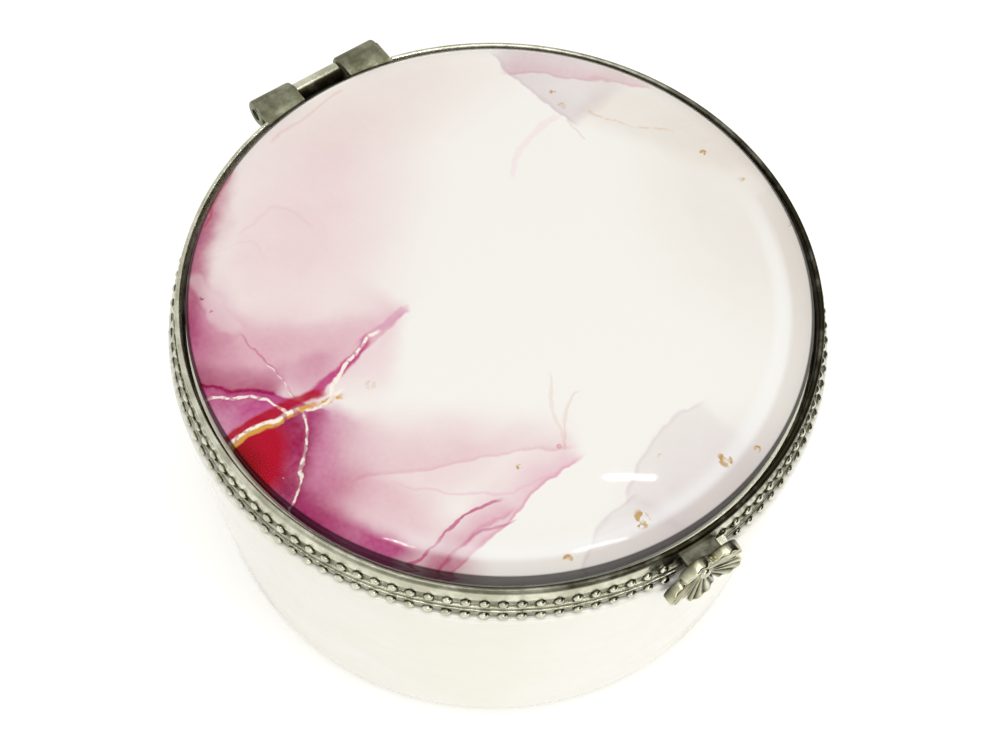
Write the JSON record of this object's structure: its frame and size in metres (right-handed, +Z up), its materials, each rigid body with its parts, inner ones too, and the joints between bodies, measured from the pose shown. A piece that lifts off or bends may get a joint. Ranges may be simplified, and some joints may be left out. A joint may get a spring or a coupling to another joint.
{
  "type": "rosary box",
  "caption": "Round glazed porcelain keepsake box with a beaded metal rim, a hinged lid under bevelled glass over a marbled print, and a flower clasp.",
  "frame": {"origin": "middle of the foot, on the plane that the box stands on", "axes": "+Z up through the middle of the bowl and lid, +Y towards the hinge, -Y the front with the clasp, +X to the right seen from the front"},
  "size_m": [0.0642, 0.0675, 0.038],
  "materials": {
    "glazed_porcelain": "warm white gloss glaze",
    "aged_nickel": "polished aged nickel plate on brass",
    "pin_steel": "drawn wire",
    "lid_plate_nickel": "satin nickel plate",
    "printed_card": "gloss print, marbled inks",
    "clear_glass": "polished clear glass"
  },
  "bodies": {
    "box": {"bowl": "glazed_porcelain", "base_ring": "aged_nickel", "base_beading": "aged_nickel", "base_hinge_leaf": "aged_nickel", "hinge_pin": "pin_steel", "catch_lug": "aged_nickel"},
    "lid": {"lid_ring": "aged_nickel", "lid_beading": "aged_nickel", "lid_hinge_leaf": "aged_nickel", "lid_plate": "lid_plate_nickel", "print_disc": "printed_card", "glass_top": "clear_glass", "clasp_tab": "aged_nickel", "clasp_flower": "aged_nickel", "clasp_rivet": "aged_nickel"}
  },
  "joints": [
    {"name": "lid_hinge", "type": "hinge", "parent": "box", "child": "lid", "pos_m": [0, 0.03235, 0.0349], "axis": [-1, 0, 0], "range_deg": [0, 100]}
  ]
}
